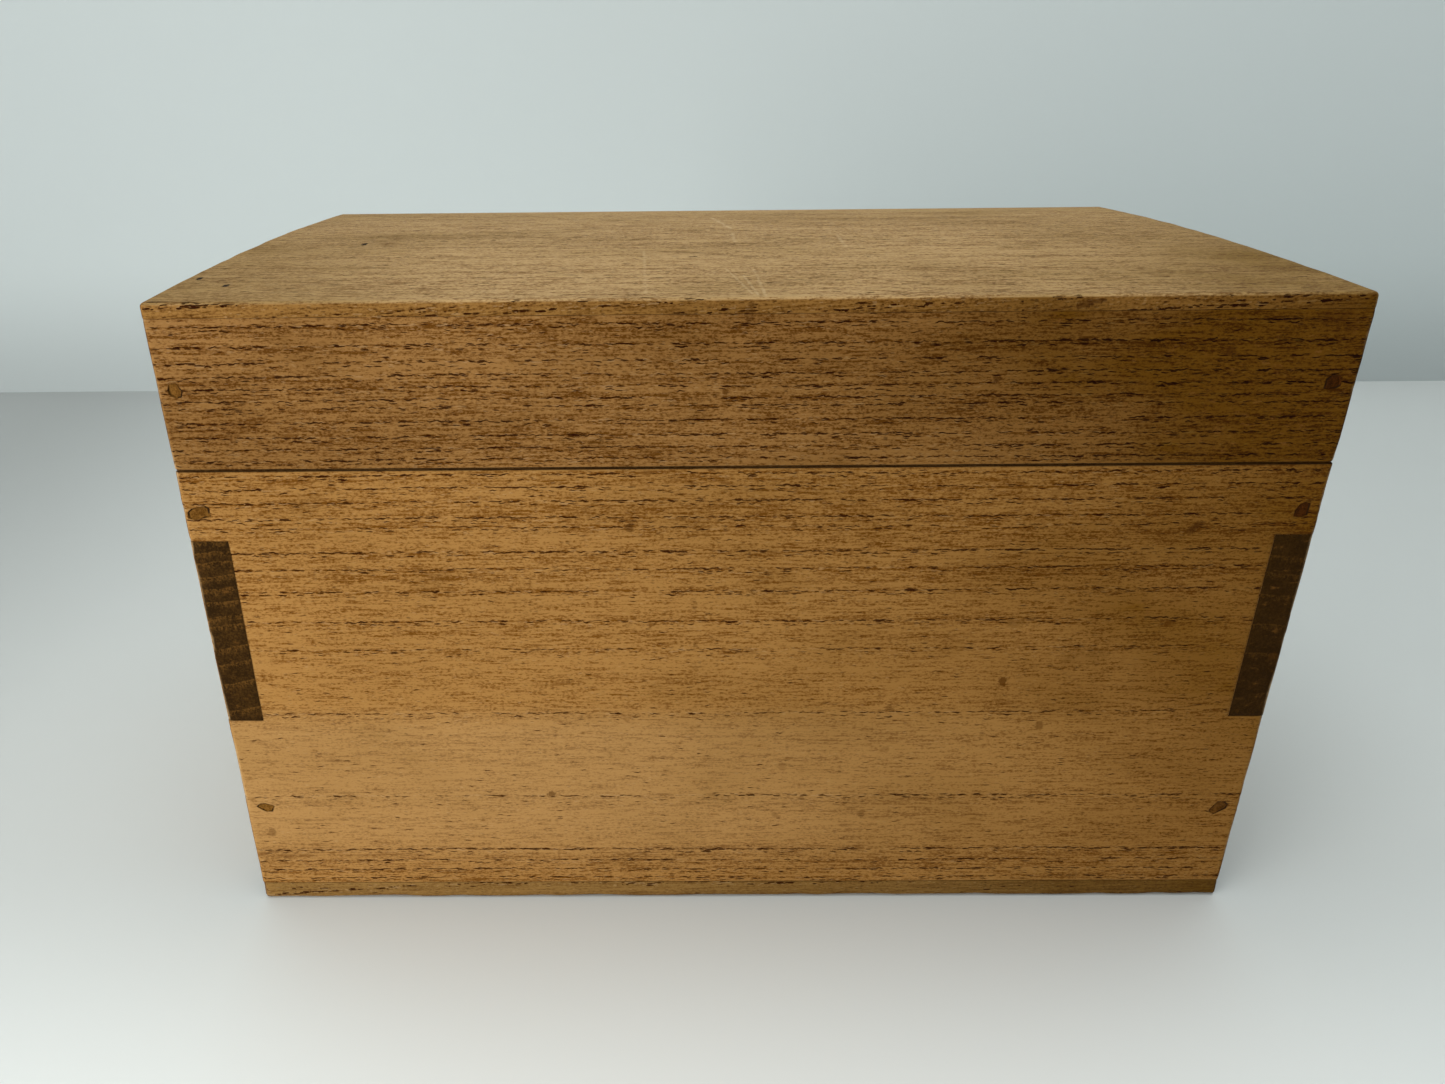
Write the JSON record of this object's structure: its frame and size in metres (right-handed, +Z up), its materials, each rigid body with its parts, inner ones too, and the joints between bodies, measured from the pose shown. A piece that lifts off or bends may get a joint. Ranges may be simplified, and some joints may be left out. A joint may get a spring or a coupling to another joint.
{
  "type": "wooden box with lift-off lid",
  "caption": "Rectangular paulownia wood box with finger-jointed walls, wooden nails, an inner liner and a flush lift-off lid with a slightly cambered top.",
  "frame": {"origin": "middle of the underside of the bottom board", "axes": "+X along the long side, to the right seen from the front; +Y from front to back, the short way; +Z up through the lid"},
  "size_m": [0.242, 0.141, 0.1529],
  "materials": {
    "wall_wood": "bare aged paulownia, planed, with open pores",
    "top_wood": "bare aged paulownia, planed, paler and straight grained",
    "bottom_wood": "bare aged paulownia, darker along the foot",
    "liner_wood": "bare paulownia, planed thin",
    "nail_wood": "whittled, cut flush, end grain showing"
  },
  "bodies": {
    "body": {"body_front_board": "wall_wood", "body_back_board": "wall_wood", "body_left_end_board": "wall_wood", "body_right_end_board": "wall_wood", "bottom_board": "bottom_wood", "liner_front": "liner_wood", "liner_right": "liner_wood", "liner_back": "liner_wood", "liner_left": "liner_wood", "body_front_nails": "nail_wood", "body_back_nails": "nail_wood", "body_left_nails": "nail_wood", "body_right_nails": "nail_wood", "bottom_nails": "nail_wood"},
    "lid": {"lid_front_board": "wall_wood", "lid_back_board": "wall_wood", "lid_left_end_board": "wall_wood", "lid_right_end_board": "wall_wood", "lid_top_board": "top_wood", "lid_front_nails": "nail_wood", "lid_back_nails": "nail_wood"}
  },
  "joints": [
    {"name": "lid_lift", "type": "slide", "parent": "body", "child": "lid", "axis": [0, 0, 1], "range_m": [0, 0.06]}
  ]
}
